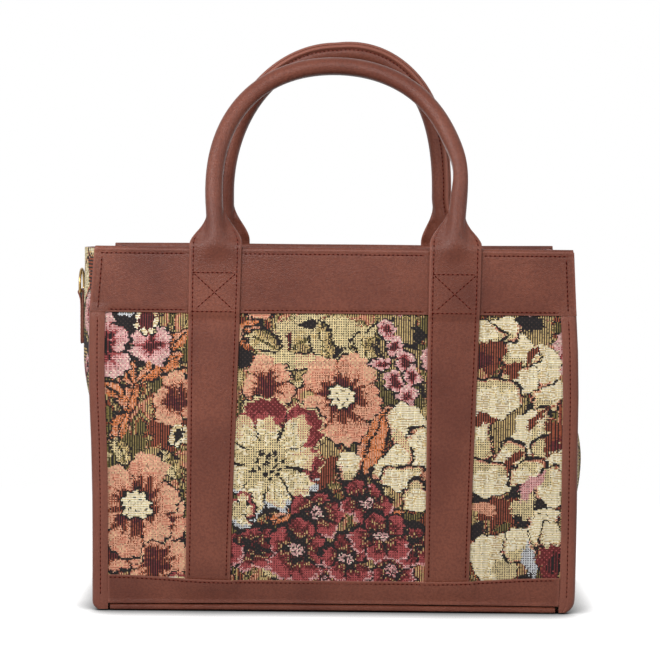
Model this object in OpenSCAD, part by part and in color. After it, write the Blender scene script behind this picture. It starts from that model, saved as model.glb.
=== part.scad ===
// Satchel: a stiff-sided handbag of woven floral cloth with leather trim.
// Two cloth panels and two soft gussets stand on a leather base. Leather bands,
// edge bindings and straps are sewn over the panels, and each pair of straps runs
// up into one rolled handle. A D-ring hangs on a leather tab on each gusset.
// Origin: centre of the base, on the surface that the bag stands on.
// +X is to the right as the front is seen, +Y points to the back, +Z is up.

/* [Body] */
// Width of the front panel, over the edge bindings
body_w = 330; // [280:1:380]
// Height of the top edge above the ground
body_h = 250; // [220:1:300]
// Depth between the outer faces of the two cloth panels
body_d = 125; // [100:1:160]
// Radius of the bottom corners of the front and back
corner_r = 7; // [3:0.5:10]

/* [Thicknesses] */
// Cloth panel with its stiffening
panel_t = 2.5; // [1.5:0.1:4]
// Gusset cloth with its backing
gusset_t = 1.8; // [1:0.1:3]
// One layer of leather
leather_t = 1.2; // [0.8:0.1:2]
// Lining cloth
lining_t = 0.8; // [0.5:0.1:1.5]
// Leather of the base
base_t = 2; // [1.2:0.1:3]
// Board that keeps the base flat
board_t = 2.5; // [1.5:0.1:4]

/* [Trim] */
// Height of the leather band along the top edge
top_band_h = 45; // [30:1:60]
// Depth of the same band where it is folded to the inside
facing_h = 38; // [25:1:50]
// Height of the leather band along the bottom
bottom_band_h = 19; // [12:1:30]
// Height of the base leather that turns up below the bottom band
base_lip = 5; // [3.5:0.5:8]
// Width of the edge binding on the front
binding_w = 11; // [9:0.5:16]
// Width of the edge binding where it is folded behind the panel
binding_return = 5.7; // [4:0.1:8]

/* [Gussets] */
// Height at which a gusset reaches its middle fullness
bulge_mid_z = 100; // [70:1:120]
// Distance below the top edge, above which a gusset keeps its upper fullness
bulge_top_drop = 80; // [76:1:95]
// Fullness of the left gusset half way up
left_mid_bulge = 9; // [2:0.5:16]
// Fullness of the left gusset at the top
left_top_bulge = 19; // [2:0.5:24]
// Fullness of the right gusset half way up
right_mid_bulge = 14; // [2:0.5:16]
// Fullness of the right gusset at the top
right_top_bulge = 4; // [2:0.5:24]
// How far the top of a gusset lies below the top edge of the panels
gusset_drop = 2; // [1:0.5:8]

/* [Straps] */
// Width of a flat strap
strap_w = 34; // [22:1:40]
// Thickness of a strap, two layers of leather
strap_t = 2.4; // [1.6:0.1:3]
// Distance between the middles of the two straps of one side
strap_spacing = 163; // [130:1:190]
// Height over which a strap steps up onto the top band
strap_step = 3; // [2:0.5:6]

/* [Handles] */
// Diameter of a rolled handle
handle_d = 12; // [9:0.5:16]
// Length of the rounded shoulder, from the hinge line to the narrow neck of a handle
shoulder_len = 20; // [12:0.5:26]
// Part of the shoulder that keeps the full width of the strap
shoulder_start = 2.5; // [1:0.5:6]
// Length over which the roll of a handle rises out of the flat strap
roll_len = 22; // [14:0.5:30]
// Height of the sewn seam that runs along the inner side of a handle
seam_h = 2.5; // [1:0.1:4]
// Length over which the seam rises above the shoulder
seam_len = 10; // [6:0.5:12]
// Straight part of the front handle, from its hinge line to the arch
front_leg = 42; // [36:1:60]
// Rise of the front handle's arch
front_arch = 90; // [60:1:110]
// Lean of the front handle towards the inside, from upright, in degrees
front_lean = 20; // [0:1:22]
// How much further the front handle can lean to the inside, in degrees
front_play = 8; // [2:1:10]
// Straight part of the back handle, from its hinge line to the arch
back_leg = 37; // [36:1:60]
// Rise of the back handle's arch
back_arch = 103; // [60:1:110]
// Lean of the back handle towards the inside, from upright, in degrees
back_lean = 6; // [0:1:12]
// How much further the back handle can lean to the inside, in degrees
back_play = 12; // [2:1:14]

/* [Rings] */
// Distance of a D-ring's bar below the top edge
ring_drop = 34; // [28:1:36]
// Diameter of the ring's wire
ring_wire = 2; // [1.8:0.1:3.2]
// Clear width inside the ring
ring_inner_w = 20; // [17:0.5:24]
// Height of the ring's straight sides, from the bar to the round
ring_side_h = 5; // [4:0.5:8]
// Radius of the ring's bends beside the bar
ring_bend_r = 3; // [2.5:0.1:3.5]
// Width of the leather tab that holds a ring
tab_w = 15; // [10:0.5:16]
// Length of the tab below the bar
tab_len = 37; // [26:0.5:42]

/* [Snap] */
// Diameter of the magnetic snap's discs
snap_d = 18; // [12:0.5:22]
// Thickness of a disc
snap_t = 2.4; // [1.5:0.1:4]
// Diameter of the stud
stud_d = 8; // [5:0.5:10]
// Height of the stud
stud_h = 2.6; // [1.5:0.1:4]
// How far the snap's middle lies below the top edge
snap_drop = 18; // [13:0.5:22]

/* [Fit] */
// Gap between pieces that lie loosely on each other
gap = 0.3; // [0.2:0.05:0.5]
// Gap all round the ring's bar in its tab
bar_gap = 0.1; // [0.05:0.05:0.2]
// Distance of a handle's lower end from its hinge line
handle_gap = 0.3; // [0.2:0.05:0.5]

/* [Hidden] */
$fn = 48;
leather = "#7a463a";
cloth = "#a8805f";
lining_cloth = "#6b5240";
board = "#4a443e";
brass = "#b9975c";
gusset_columns = 20;
gusset_rows = 22;
ring_sides = 24;
shoulder_rings = 9;
leg_rings = 6;
arch_rings = 32;
front_seam_side = 3;
back_seam_side = 9;
edge_thin = 0.2;

front_y = -body_d / 2;
leather_y = front_y - leather_t;
panel_in_y = front_y + panel_t;
panel_w = body_w - 2 * leather_t;
band_z = body_h - top_band_h;
bottom_band_z = base_lip + bottom_band_h;
inner_w = body_w - 2 * binding_w;

// The gussets are sewn to the panels just inside the folded edge of the bindings.
seam_x = body_w / 2 - binding_return - gap;
gusset_w = body_d - 2 * panel_t;
gusset_top = body_h - gusset_drop;

lining_w = 2 * (seam_x - gusset_t - gap);
lining_d = gusset_w - 2 * gap;
lining_z = base_t + board_t + gap;
lining_top = body_h - facing_h - gap;

// A handle turns about the front edge of its straps, just above the top edge of the bag.
hinge_y = leather_y - strap_t;
front_hinge_z = body_h + hinge_rise(front_lean + front_play);
back_hinge_z = body_h + hinge_rise(back_lean + back_play);
bulge_top_z = body_h - bulge_top_drop;
ring_z = body_h - ring_drop;

bar_r = ring_wire / 2;
eye_r = bar_r + bar_gap + leather_t;
ring_half_w = ring_inner_w / 2 + bar_r;
facing_y = panel_in_y + leather_t;
snap_z = body_h - snap_drop;

function clamp01(t) = max(0, min(1, t));
function smooth(t) = let (c = clamp01(t)) c * c * (3 - 2 * c);
function mix(a, b, t) = a + (b - a) * t;

// Lift of a handle's hinge line that keeps its lower end clear of the top edge at full lean.
function hinge_rise(lean) = strap_t * sin(lean) - handle_gap * cos(lean) + gap;

// How far a gusset stands out of its seam, at a height z and a share u of its width.
function bulge_at(z, mid, top) =
    mid * smooth((z - base_t) / (bulge_mid_z - base_t))
    + (top - mid) * smooth((z - bulge_mid_z) / (bulge_top_z - bulge_mid_z));
function across(u) = pow(1 - pow(2 * u - 1, 2), 2);

module on_back() { mirror([0, 1, 0]) children(); }
module on_left() { mirror([1, 0, 0]) children(); }

// An outline given in (y, z), made solid along X and centred.
module along_x(length) {
    rotate([90, 0, 90]) linear_extrude(length, center = true) children();
}

// An outline given in (x, z), made solid along Y and centred.
module along_y(length) {
    rotate([90, 0, 0]) linear_extrude(length, center = true) children();
}

// A closed solid between two grids of points that have the same rows and columns.
module between_grids(outer, inner) {
    rows = len(outer);
    columns = len(outer[0]);
    count = rows * columns;
    function at(r, c) = r * columns + c;
    points = concat([for (row = outer) each row], [for (row = inner) each row]);
    outer_faces = [for (r = [0 : rows - 2], c = [0 : columns - 2])
        each [[at(r, c), at(r + 1, c), at(r, c + 1)], [at(r + 1, c), at(r + 1, c + 1), at(r, c + 1)]]];
    inner_faces = [for (f = outer_faces) [f[2] + count, f[1] + count, f[0] + count]];
    rim = concat(
        [for (c = [0 : columns - 1]) at(0, c)],
        [for (r = [1 : rows - 1]) at(r, columns - 1)],
        [for (c = [columns - 2 : -1 : 0]) at(rows - 1, c)],
        [for (r = [rows - 2 : -1 : 1]) at(r, 0)]);
    rim_faces = [for (i = [0 : len(rim) - 1])
        let (a = rim[i], b = rim[(i + 1) % len(rim)])
        each [[a, b, a + count], [b, b + count, a + count]]];
    polyhedron(points, concat(outer_faces, inner_faces, rim_faces));
}

// A closed solid through a row of rings that have the same number of points.
module through_rings(rings) {
    sides = len(rings[0]);
    last = len(rings) - 1;
    walls = [for (r = [0 : last - 1], s = [0 : sides - 1])
        let (a = r * sides + s, b = r * sides + (s + 1) % sides)
        each [[a, b, a + sides], [b, b + sides, a + sides]]];
    first_cap = [for (s = [sides - 1 : -1 : 0]) s];
    last_cap = [for (s = [0 : sides - 1]) last * sides + s];
    polyhedron([for (ring = rings) each ring], concat([first_cap], walls, [last_cap]));
}

// Cloth panel of the front; the back has its mirror image.
module panel() {
    translate([-panel_w / 2, front_y, base_t])
        cube([panel_w, panel_t, body_h - leather_t - base_t]);
}

module front_panel() { color(cloth) panel(); }
module back_panel() { color(cloth) on_back() panel(); }

// Soft side wall: straight where it is sewn to the base, full further up.
module gusset(mid, top) {
    function height(r) = mix(base_t, gusset_top, r / gusset_rows);
    outer = [for (r = [0 : gusset_rows]) [for (c = [0 : gusset_columns])
        let (u = c / gusset_columns)
        [seam_x + bulge_at(height(r), mid, top) * across(u), (u - 0.5) * gusset_w, height(r)]]];
    inner = [for (row = outer) [for (p = row) p - [gusset_t, 0, 0]]];
    between_grids(outer, inner);
}

module left_gusset() { color(cloth) on_left() gusset(left_mid_bulge, left_top_bulge); }
module right_gusset() { color(cloth) gusset(right_mid_bulge, right_top_bulge); }

// Leather of the base: a plate between the gussets, turned up along the front and the back.
module base_panel() {
    tray_d = body_d + 2 * leather_t;
    edge_r = base_t;
    plate_d = gusset_w - 2 * (leather_t + gap);
    color(leather) union() {
        along_x(inner_w) difference() {
            union() {
                translate([-tray_d / 2, edge_r]) square([tray_d, base_lip - edge_r]);
                translate([-tray_d / 2 + edge_r, 0]) square([tray_d - 2 * edge_r, base_lip]);
                for (s = [-1, 1]) translate([s * (tray_d / 2 - edge_r), edge_r]) circle(edge_r);
            }
            translate([front_y, base_t]) square([body_d, base_lip]);
        }
        translate([-seam_x, -plate_d / 2, 0]) cube([2 * seam_x, plate_d, base_t]);
    }
}

module base_board() {
    color(board) translate([-lining_w / 2, -lining_d / 2, base_t]) cube([lining_w, lining_d, board_t]);
}

// Cloth lining: an open box inside the walls, up to the lower edge of the folded top bands.
module lining() {
    color(lining_cloth) difference() {
        translate([-lining_w / 2, -lining_d / 2, lining_z])
            cube([lining_w, lining_d, lining_top - lining_z]);
        translate([-lining_w / 2 + lining_t, -lining_d / 2 + lining_t, lining_z + lining_t])
            cube([lining_w - 2 * lining_t, lining_d - 2 * lining_t, body_h]);
    }
}

// Leather band folded over the top edge: tall outside, and between the gussets a little
// shorter inside.
module top_band() {
    union() {
        along_x(body_w) polygon([
            [leather_y, band_z], [front_y, band_z], [front_y, body_h - leather_t],
            [panel_in_y, body_h - leather_t], [panel_in_y, body_h], [leather_y, body_h]]);
        translate([-lining_w / 2, panel_in_y, body_h - facing_h])
            cube([lining_w, leather_t, facing_h]);
    }
}

module front_top_band() { color(leather) top_band(); }
module back_top_band() { color(leather) on_back() top_band(); }

module bottom_band() {
    translate([-inner_w / 2, leather_y, base_lip]) cube([inner_w, leather_t, bottom_band_h]);
}

module front_bottom_band() { color(leather) bottom_band(); }
module back_bottom_band() { color(leather) on_back() bottom_band(); }

// Leather strip folded round the right edge of the front panel, up to the top band.
module binding() {
    edge_x = body_w / 2;
    fold_d = panel_t + 2 * leather_t;
    intersection() {
        linear_extrude(band_z) difference() {
            translate([edge_x - binding_w, leather_y]) square([binding_w, fold_d]);
            translate([edge_x - binding_w - 1, front_y]) square([binding_w + 1 - leather_t, panel_t]);
            translate([edge_x - binding_w - 1, panel_in_y])
                square([binding_w + 1 - binding_return, leather_t + 1]);
        }
        translate([0, leather_y + fold_d / 2, 0]) along_y(2 * fold_d) union() {
            translate([edge_x - binding_w, corner_r]) square([binding_w, band_z]);
            translate([edge_x - binding_w, 0]) square([binding_w - corner_r, band_z]);
            translate([edge_x - corner_r, corner_r]) circle(corner_r);
        }
    }
}

module front_left_binding() { color(leather) on_left() binding(); }
module front_right_binding() { color(leather) binding(); }
module back_left_binding() { color(leather) on_left() on_back() binding(); }
module back_right_binding() { color(leather) on_back() binding(); }

// Flat strap from the bottom band up over the top band, at the right of the front.
module strap() {
    translate([strap_spacing / 2, 0, 0]) along_x(strap_w) polygon([
        [front_y, bottom_band_z], [front_y, band_z - strap_step],
        [leather_y, band_z], [leather_y, body_h],
        [leather_y - strap_t, body_h], [leather_y - strap_t, band_z],
        [front_y - strap_t, band_z - strap_step], [front_y - strap_t, bottom_band_z]]);
}

module front_left_strap() { color(leather) on_left() strap(); }
module front_right_strap() { color(leather) strap(); }
module back_left_strap() { color(leather) on_left() on_back() strap(); }
module back_right_strap() { color(leather) on_back() strap(); }

// Rolled handle over the front: flat ends with sloping shoulders, out of which a round roll
// rises and arches over, with a sewn seam along the side that faces the other handle. It is
// drawn in the plane of the handle, x across and v up from the hinge line, and then leaned
// to the inside.
module handle(leg, arch, lean, hinge_z, seam_side) {
    half = strap_spacing / 2;
    up = concat(
        [for (i = [0 : shoulder_rings - 1])
            mix(handle_gap, shoulder_len, i / shoulder_rings)],
        [for (i = [0 : leg_rings - 1]) mix(shoulder_len, leg, i / leg_rings)]);
    steps = len(up);
    left_leg = [for (v = up) [-half, v, 0, v]];
    over = [for (i = [0 : arch_rings])
        let (a = 180 * i / arch_rings)
        [-half * cos(a), leg + arch * sin(a), atan2(half * sin(a), arch * cos(a)), leg]];
    right_leg = [for (i = [steps - 1 : -1 : 0]) [half, up[i], 180, up[i]]];
    rings = [for (s = concat(left_leg, over, right_leg))
        let (flat = 1 - smooth((s[3] - shoulder_start) / (shoulder_len - shoulder_start)),
             roll = smooth(s[3] / roll_len),
             half_w = mix(handle_d, strap_w, flat) / 2,
             flap_h = strap_t / 2 * smooth(3 * flat),
             seam = seam_h * smooth((s[3] - shoulder_len) / seam_len))
        [for (k = [0 : ring_sides - 1])
            let (a = 360 * (k + 0.5) / ring_sides,
                 stand = k == seam_side ? seam : 0,
                 level = half_w * cos(a),
                 roll_h = roll * sqrt(max(0, pow(handle_d / 2, 2) - pow(level, 2))),
                 side = level + stand * cos(a),
                 w = strap_t / 2 + sign(sin(a)) * max(flap_h * (1 - edge_thin * pow(cos(a), 2)), roll_h)
                     + stand * sin(a),
                 x = s[0] + side * cos(s[2]),
                 v = s[1] - side * sin(s[2]))
            [x, hinge_y + w * cos(lean) + v * sin(lean), hinge_z - w * sin(lean) + v * cos(lean)]]];
    through_rings(rings);
}

module front_handle() { color(leather) handle(front_leg, front_arch, front_lean, front_hinge_z, front_seam_side); }
module back_handle() { color(leather) on_back() handle(back_leg, back_arch, back_lean, back_hinge_z, back_seam_side); }

// Distance of a ring's bar from the middle of the bag, for a gusset of that fullness.
function bar_x(top) = seam_x + top + gap + eye_r;

// Leather tab sewn to a gusset, with its upper end folded round the ring's bar.
module ring_tab(top) {
    translate([bar_x(top), 0, ring_z]) along_y(tab_w) difference() {
        union() {
            circle(eye_r);
            translate([-eye_r, -tab_len]) square([2 * leather_t, tab_len]);
        }
        circle(bar_r + bar_gap);
    }
}

module left_ring_tab() { color(leather) on_left() ring_tab(left_top_bulge); }
module right_ring_tab() { color(leather) ring_tab(right_top_bulge); }

// D-ring of bent wire, standing up from its bar.
module ring(top) {
    bend_y = ring_half_w - ring_bend_r;
    translate([bar_x(top), 0, ring_z]) rotate([90, 0, 90]) union() {
        rotate([0, 90, 0]) cylinder(r = bar_r, h = 2 * bend_y, center = true);
        for (s = [0, 1]) mirror([s, 0, 0]) {
            translate([bend_y, ring_bend_r, 0]) rotate([0, 0, -90]) rotate_extrude(angle = 90)
                translate([ring_bend_r, 0]) circle(bar_r);
            translate([ring_half_w, ring_bend_r, 0]) rotate([-90, 0, 0])
                cylinder(r = bar_r, h = ring_side_h - ring_bend_r);
        }
        translate([0, ring_side_h, 0]) rotate_extrude(angle = 180)
            translate([ring_half_w, 0]) circle(bar_r);
    }
}

module left_ring() { color(brass) on_left() ring(left_top_bulge); }
module right_ring() { color(brass) ring(right_top_bulge); }

// Magnetic snap: a socket on the front facing and a stud on the back facing.
module snap_disc() {
    translate([0, facing_y, snap_z]) rotate([-90, 0, 0]) cylinder(d = snap_d, h = snap_t);
}

module snap_socket() {
    color(brass) difference() {
        snap_disc();
        translate([0, facing_y + snap_t / 2, snap_z]) rotate([-90, 0, 0])
            cylinder(d = stud_d + 2 * gap, h = snap_t);
    }
}

module snap_stud() {
    color(brass) on_back() union() {
        snap_disc();
        translate([0, facing_y + snap_t, snap_z]) rotate([-90, 0, 0]) cylinder(d = stud_d, h = stud_h);
    }
}

front_panel();
back_panel();
left_gusset();
right_gusset();
base_panel();
base_board();
lining();
front_top_band();
back_top_band();
front_bottom_band();
back_bottom_band();
front_left_binding();
front_right_binding();
back_left_binding();
back_right_binding();
front_left_strap();
front_right_strap();
back_left_strap();
back_right_strap();
front_handle();
back_handle();
left_ring_tab();
right_ring_tab();
left_ring();
right_ring();
snap_socket();
snap_stud();
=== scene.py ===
import math

import bpy
import numpy as np
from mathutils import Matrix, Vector


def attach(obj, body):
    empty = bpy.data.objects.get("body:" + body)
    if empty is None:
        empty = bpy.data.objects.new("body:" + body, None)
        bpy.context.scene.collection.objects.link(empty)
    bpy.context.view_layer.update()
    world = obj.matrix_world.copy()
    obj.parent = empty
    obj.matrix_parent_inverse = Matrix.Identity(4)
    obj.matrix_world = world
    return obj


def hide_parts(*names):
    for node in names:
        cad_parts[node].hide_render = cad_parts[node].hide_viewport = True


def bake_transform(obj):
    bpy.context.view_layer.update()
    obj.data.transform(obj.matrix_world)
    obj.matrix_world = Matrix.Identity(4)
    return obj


MM = 0.001

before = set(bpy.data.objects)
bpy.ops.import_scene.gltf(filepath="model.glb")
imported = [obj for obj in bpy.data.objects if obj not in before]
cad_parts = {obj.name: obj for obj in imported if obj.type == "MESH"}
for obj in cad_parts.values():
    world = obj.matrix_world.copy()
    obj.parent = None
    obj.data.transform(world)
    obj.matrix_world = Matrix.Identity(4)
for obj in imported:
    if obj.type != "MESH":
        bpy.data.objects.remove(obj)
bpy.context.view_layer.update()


# Camera, floor and light
# The bag stands on a white floor, seen from the front through a long lens. Three lamps light
# it from the front and two weak ones from above and behind; only a faint shadow stays.
bpy.ops.object.select_all(action="DESELECT")
bpy.ops.object.camera_add(location=(-0.0034, -1.3630, 0.2780))
camera = bpy.context.object
camera.name = "camera"
camera.data.sensor_width = 36
camera.data.lens = 104.3
aim = Vector((-0.0034, -0.0630, 0.1940)) - camera.location
camera.rotation_euler = aim.to_track_quat("-Z", "Y").to_euler()
camera.rotation_euler.rotate_axis("Z", math.radians(0.5))
bpy.context.scene.camera = camera
bpy.context.scene.view_settings.view_transform = "Standard"


def fill(tree, node, sockets):
    """Puts values or links on the sockets of a shader node."""
    for name, value in sockets.items():
        if isinstance(value, bpy.types.NodeSocket):
            tree.links.new(value, node.inputs[name])
        else:
            node.inputs[name].default_value = value


def add(tree, kind, sockets, **settings):
    """A new shader node with its settings and what is on its sockets."""
    made = tree.nodes.new(kind)
    for name, value in settings.items():
        setattr(made, name, value)
    fill(tree, made, sockets)
    return made


def calc(tree, operation, *values):
    """The result of a sum on shader values."""
    return add(tree, "ShaderNodeMath", dict(enumerate(values)), operation=operation).outputs[0]


def ranged(tree, value, low, high, to_low=0.0, to_high=1.0, **settings):
    """A shader value carried over from one range to another."""
    limits = {"Value": value, "From Min": low, "From Max": high, "To Min": to_low, "To Max": to_high}
    return add(tree, "ShaderNodeMapRange", limits, **settings).outputs[0]


def mixed(tree, share, first, second):
    """A mix of two shaders."""
    return add(tree, "ShaderNodeMixShader", {0: share, 1: first, 2: second}).outputs[0]


def seen_directly(tree):
    """1 for rays from the camera, from reflections and through glass, else 0."""
    path = add(tree, "ShaderNodeLightPath", {})
    seen = path.outputs["Is Camera Ray"]
    for ray in ("Is Glossy Ray", "Is Transmission Ray"):
        seen = calc(tree, "MAXIMUM", seen, path.outputs[ray])
    return seen


WHITE = (1, 1, 1, 1)
world = bpy.data.worlds.new("white_room")
world.use_nodes = True
tree = world.node_tree
tree.nodes.clear()
room_light = add(tree, "ShaderNodeBackground", {"Color": WHITE, "Strength": 0.15}).outputs[0]
room_white = add(tree, "ShaderNodeBackground", {"Color": WHITE, "Strength": 1.0}).outputs[0]
add(tree, "ShaderNodeOutputWorld", {"Surface": mixed(tree, seen_directly(tree), room_light, room_white)})
bpy.context.scene.world = world

bpy.ops.object.select_all(action="DESELECT")
bpy.ops.mesh.primitive_circle_add(vertices=96, radius=1.1, fill_type="NGON", location=(0, 0, -0.0003))
floor = bpy.context.object
floor.name = "floor"
floor_paint = bpy.data.materials.new("floor_white")
floor_paint.use_nodes = True
tree = floor_paint.node_tree
tree.nodes.clear()
plain = add(tree, "ShaderNodeEmission", {"Color": WHITE, "Strength": 1.0}).outputs[0]
lit = add(tree, "ShaderNodeBsdfDiffuse", {"Color": (0.60, 0.60, 0.60, 1)}).outputs[0]
lit = add(tree, "ShaderNodeAddShader", {0: lit, 1: plain}).outputs[0]
place = add(tree, "ShaderNodeTexCoord", {}).outputs["Object"]
distance = add(tree, "ShaderNodeVectorMath", {0: place}, operation="LENGTH").outputs["Value"]
far = ranged(tree, distance, 0.24, 0.60, interpolation_type="SMOOTHSTEP")
# Painted shadow: close to the bag the floor is darkened by its ambient occlusion, on top of the real shadows
# the lamps cast.
painted_contact_shadow = add(tree, "ShaderNodeAmbientOcclusion", {"Distance": 0.032}, samples=24).outputs["AO"]
dark = add(tree, "ShaderNodeEmission", {"Strength": 0.0}).outputs[0]
shaded = mixed(tree, calc(tree, "POWER", painted_contact_shadow, 2.6), dark, mixed(tree, far, lit, plain))
bounce = add(tree, "ShaderNodeBsdfDiffuse", {"Color": (0.22, 0.22, 0.22, 1)}).outputs[0]
add(tree, "ShaderNodeOutputMaterial", {"Surface": mixed(tree, seen_directly(tree), bounce, shaded)})
floor.data.materials.append(floor_paint)

for name, spot, target, size, power in (
    ("key_lamp", (-0.35, -0.85, 0.68), (0, 0, 0.26), 0.4, 8.5),
    ("left_lamp", (-0.95, -0.60, 0.75), (0, 0, 0.26), 0.35, 6.5),
    ("right_lamp", (0.75, -0.90, 0.75), (0, 0, 0.26), 0.35, 6.8),
    ("top_lamp", (0.0, 0.10, 1.5), (0, 0, 0.2), 0.9, 0.6),
    ("back_lamp", (0.2, 1.70, 0.60), (0, 0, 0.18), 1.8, 4),
):
    bpy.ops.object.select_all(action="DESELECT")
    bpy.ops.object.light_add(type="AREA", location=spot)
    lamp = bpy.context.object
    lamp.name = name
    lamp.data.size = size
    lamp.data.energy = power
    lamp.rotation_euler = (Vector(target) - lamp.location).to_track_quat("-Z", "Y").to_euler()


# Leather base with its board
# A brown leather plate closes the bag below and is turned up along the front and the back.
# A stiff board lies on it inside; the corners are cut out where the sides are sewn on.
LEATHER_T = 1.2
BASE_HALF = 159.0
RELIEF = 0.0002


def linear(red, green, blue):
    """Linear colour of an sRGB colour given from 0 to 255."""
    return tuple(((c / 255 + 0.055) / 1.055) ** 2.4 for c in (red, green, blue)) + (1.0,)


def smooth(t):
    """0 below 0, 1 above 1, and an even turn between them."""
    t = np.clip(t, 0, 1)
    return t * t * (3 - 2 * t)


def wave(a, b, seed):
    """A soft uneven wave over two lengths in millimetres, from about -1 to 1."""
    broad = np.sin(a / 41 + b / 67 + seed) + np.sin(a / 23 - b / 35 + 2.1 * seed)
    return (broad + 0.6 * np.sin(b / 17 + a / 90 + 3.7 * seed)) / 2.6


def new_material(name):
    """An empty shader tree with a Principled surface, and the Object coordinates."""
    paint = bpy.data.materials.new(name)
    paint.use_nodes = True
    tree = paint.node_tree
    tree.nodes.clear()
    shader = add(tree, "ShaderNodeBsdfPrincipled", {})
    add(tree, "ShaderNodeOutputMaterial", {"Surface": shader.outputs[0]})
    return paint, tree, shader, add(tree, "ShaderNodeTexCoord", {}).outputs["Object"]


def noise(tree, place, scale, detail):
    """Soft noise from 0 to 1."""
    return add(tree, "ShaderNodeTexNoise", {"Vector": place, "Scale": scale, "Detail": detail}).outputs["Fac"]


def tones(tree, share, first, second):
    """A mix of two colours."""
    return add(tree, "ShaderNodeMix", {0: share, 6: first, 7: second}, data_type="RGBA").outputs[2]


def raised(tree, height, strength, **settings):
    """The normals of a surface with a fine relief."""
    sockets = {"Strength": strength, "Distance": RELIEF, "Height": height}
    return add(tree, "ShaderNodeBump", sockets, **settings).outputs[0]


leather, tree, shader, place = new_material("brown_leather")
broad = ranged(tree, noise(tree, place, 18.0, 4.0), 0.3, 0.7)
tone = tones(tree, broad, linear(86, 43, 32), linear(114, 64, 49))
fleck = ranged(tree, noise(tree, place, 620.0, 3.0), 0.40, 0.65, 0.0, 0.38)
tone = tones(tree, fleck, tone, linear(66, 29, 21))
# Paler along cut edges, which is worn leather, and over the bindings, which is a painted highlight.
rim = add(tree, "ShaderNodeAttribute", {}, attribute_name="rim").outputs["Fac"]
tone = tones(tree, rim, tone, linear(134, 82, 68))
grain = add(tree, "ShaderNodeTexVoronoi", {"Vector": place, "Scale": 1200.0}).outputs["Distance"]
crease = noise(tree, place, 230.0, 4.0)
bump = raised(tree, calc(tree, "MULTIPLY_ADD", crease, 0.35, grain), 1.0, invert=True)
gloss = ranged(tree, crease, 0.3, 0.7, 0.34, 0.44)
fill(tree, shader, {"Base Color": tone, "Roughness": gloss, "Normal": bump, "Specular IOR Level": 0.22})


def cut_sheet(name, columns, rows, lay, paler_by=0.0):
    """A sheet of that many cells, laid in place by lay(across, along), both from 0 to 1, paler at its cut
    edges as worn leather, and paler by a share elsewhere, which is a painted highlight where it is given.
    """
    bpy.ops.object.select_all(action="DESELECT")
    bpy.ops.mesh.primitive_grid_add(x_subdivisions=columns, y_subdivisions=rows, size=1)
    piece = bpy.context.object
    piece.name = piece.data.name = name
    flat = np.empty(len(piece.data.vertices) * 3)
    piece.data.vertices.foreach_get("co", flat)
    flat = flat.reshape(-1, 3) + 0.5
    laid = np.stack(np.broadcast_arrays(*lay(flat[:, 0], flat[:, 1])), axis=1)
    piece.data.vertices.foreach_set("co", (laid * MM).ravel())
    cells_in = (np.minimum(flat[:, :2], 1 - flat[:, :2]) * (columns, rows)).min(axis=1)
    mark = piece.data.attributes.new("rim", "FLOAT", "POINT")
    mark.data.foreach_set("value", np.where(cells_in < 0.5, 0.5, paler_by).astype(np.float32))
    piece.data.update()
    return piece


def drop_faces(piece, unwanted):
    """Takes away the faces of the piece in hand whose middle is unwanted."""
    bpy.ops.object.mode_set(mode="EDIT")
    bpy.ops.mesh.select_all(action="DESELECT")
    bpy.ops.object.mode_set(mode="OBJECT")
    for face in piece.data.polygons:
        face.select = unwanted(face.center)
    bpy.ops.object.mode_set(mode="EDIT")
    bpy.ops.mesh.select_mode(type="FACE")
    bpy.ops.mesh.delete(type="FACE")
    bpy.ops.object.mode_set(mode="OBJECT")


def even_out(angle):
    """Turns the faces of the piece in hand outwards and smooths it, but for sharper edges."""
    bpy.ops.object.mode_set(mode="EDIT")
    bpy.ops.mesh.select_all(action="SELECT")
    bpy.ops.mesh.normals_make_consistent(inside=False)
    bpy.ops.object.mode_set(mode="OBJECT")
    bpy.ops.object.shade_smooth_by_angle(angle=math.radians(angle))


def make_thick(piece, thickness, rounding=0.35, angle=40):
    """Gives a sheet its thickness on both sides, rounds its cut edges and smooths it."""
    solid = piece.modifiers.new("thickness", "SOLIDIFY")
    solid.thickness = thickness * MM
    solid.offset = 0
    if rounding:
        bevel = piece.modifiers.new("rounding", "BEVEL")
        bevel.width = rounding * MM
        bevel.segments = 2
        bevel.limit_method = "ANGLE"
        bevel.angle_limit = math.radians(60)
    for modifier in [m.name for m in piece.modifiers]:
        bpy.ops.object.modifier_apply(modifier=modifier)
    even_out(angle)


def finish_leather(piece, *nodes):
    """Leather finish, fixed to the bag, in place of these CAD nodes."""
    piece.data.materials.append(leather)
    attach(piece, "bag")
    if nodes:
        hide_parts(*nodes)


def bent_path(corners, share):
    """Points at these shares of the length of a path through (a, b) corners."""
    corners = np.array(corners, float)
    steps = np.hypot(*np.diff(corners, axis=0).T)
    reach = np.concatenate([[0], np.cumsum(steps)])
    at = share * reach[-1]
    return np.interp(at, reach, corners[:, 0]), np.interp(at, reach, corners[:, 1])


def rounded_corner(middle, radius, start, end, count=8):
    """Points of an arc about a middle, from one angle to another in degrees."""
    turn = np.radians(np.linspace(start, end, count))
    return [(middle[0] + radius * math.cos(t), middle[1] + radius * math.sin(t)) for t in turn]


base_path = (
    [(-61.2, 7.0), (-61.2, 4.2), (-61.6, 3.6)]
    + rounded_corner((-62.8, 2.5), 1.0, 95, 180, 5)
    + rounded_corner((-62.9, 1.5), 0.85, 180, 270, 5)
    + rounded_corner((62.9, 1.5), 0.85, 270, 360, 5)
    + rounded_corner((62.8, 2.5), 1.0, 0, 85, 5)
    + [(61.6, 3.6), (61.2, 4.2), (61.2, 7.0)]
)


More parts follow.
